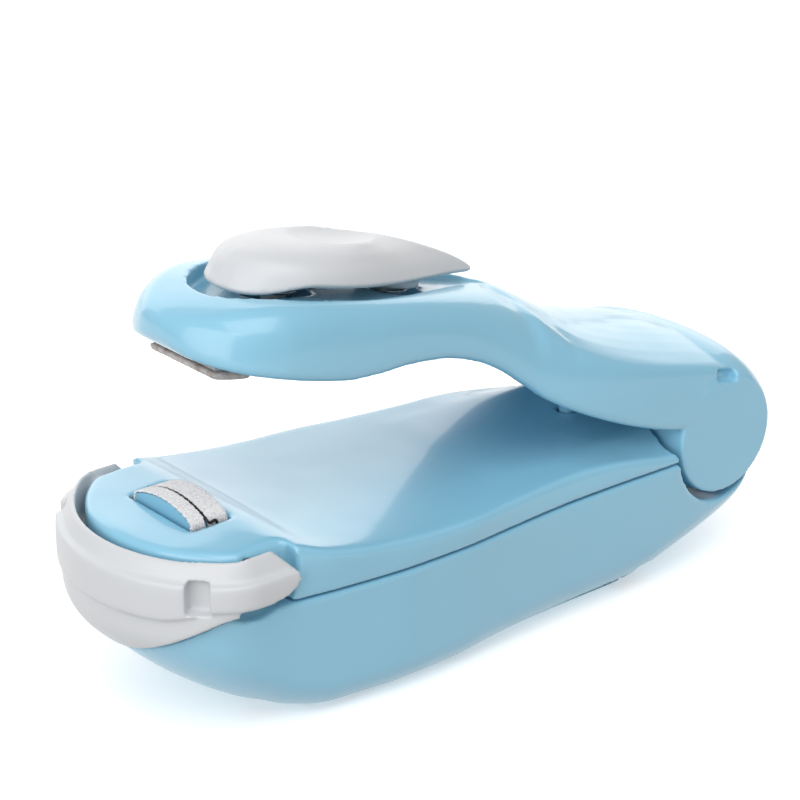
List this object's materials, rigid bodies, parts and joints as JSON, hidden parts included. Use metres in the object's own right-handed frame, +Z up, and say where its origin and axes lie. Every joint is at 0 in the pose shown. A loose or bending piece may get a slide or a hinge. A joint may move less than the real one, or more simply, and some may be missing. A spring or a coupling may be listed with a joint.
{
  "type": "handheld bag heat sealer",
  "caption": "Battery-powered clamp sealer: a sprung lever presses a bag's edge onto a heated strip in the nose of a tapered base, with a swinging nose guard.",
  "frame": {"origin": "on the battery door's flat outer face, the face that the sealer stands on, on the middle plane between its two sides", "axes": "+X from the heated nose to the lever hinge, along the length; +Y to the sealer's left, across it; +Z up"},
  "size_m": [0.1059, 0.0396, 0.0571],
  "materials": {
    "blue_gloss": "gloss moulded",
    "white_satin": "semi-gloss moulded",
    "grey_plastic": "matt moulded",
    "black_plastic": "matt moulded",
    "glass_cloth": "woven, coated",
    "jaw_silicone": "matt",
    "spring_steel": "drawn wire",
    "plated_contact": "plated",
    "heater_alloy": "oxidised wire",
    "cell_sleeve": "shrink sleeve",
    "magnet_ferrite": "ground",
    "lead_red": "insulated wire",
    "lead_black": "insulated wire"
  },
  "bodies": {
    "base": {"base_shell": "blue_gloss", "deck_cover": "blue_gloss", "case_screw_1": "spring_steel", "case_screw_2": "spring_steel", "case_screw_3": "spring_steel", "case_screw_4": "spring_steel", "heater_block": "blue_gloss", "cloth_strip_front": "glass_cloth", "cloth_strip_rear": "glass_cloth", "heater_wire": "heater_alloy", "heater_terminal_right": "plated_contact", "heater_terminal_left": "plated_contact", "battery_cell_left": "cell_sleeve", "battery_cell_right": "cell_sleeve", "contact_plus": "plated_contact", "contact_minus": "plated_contact", "contact_minus_spring": "spring_steel", "bridge_plate": "plated_contact", "bridge_spring": "spring_steel", "switch_body": "black_plastic", "lead_plus": "lead_red", "lead_minus": "lead_black", "lead_switch": "lead_red", "hinge_pin": "spring_steel", "torsion_spring": "spring_steel"},
    "guard": {"guard": "white_satin"},
    "switch": {"switch_button": "blue_gloss"},
    "lever": {"lever_shell": "blue_gloss", "lever_liner": "grey_plastic", "liner_screw_right": "spring_steel", "liner_screw_left": "spring_steel", "jaw_holder": "grey_plastic", "jaw_pad": "jaw_silicone", "pad_spring_front": "spring_steel", "pad_spring_rear": "spring_steel"},
    "pad": {"thumb_pad": "white_satin"},
    "door": {"battery_door": "blue_gloss", "magnet": "magnet_ferrite"}
  },
  "joints": [
    {"name": "lever_hinge", "type": "hinge", "parent": "base", "child": "lever", "pos_m": [0.0428, 0, 0.0192], "axis": [0, -1, 0], "range_deg": [0, 11.4], "stiffness_Nm_per_rad": 0.8, "springref_deg": -5.73},
    {"name": "guard_pivot", "type": "hinge", "parent": "base", "child": "guard", "pos_m": [-0.038, 0, 0.0225], "axis": [0, 1, 0], "range_deg": [0, 35]},
    {"name": "pad_press", "type": "slide", "parent": "lever", "child": "pad", "axis": [-0.2096, 0, -0.9778], "range_m": [0, 0.0015], "stiffness_N_per_m": 800, "springref_m": -0.001, "deforming": ["pad_spring_front", "pad_spring_rear"]},
    {"name": "door_hinge", "type": "hinge", "parent": "base", "child": "door", "pos_m": [0.0246, 0, 0.0009], "axis": [0, -1, 0], "range_deg": [0, 90]},
    {"name": "switch_press", "type": "slide", "parent": "base", "child": "switch", "axis": [0, 0, -1], "range_m": [0, 0.0012], "stiffness_N_per_m": 10, "springref_m": -0.001}
  ],
  "couplings": [
    {"joint": "switch_press", "follows": "lever_hinge", "m_per_rad": 0.00603}
  ]
}
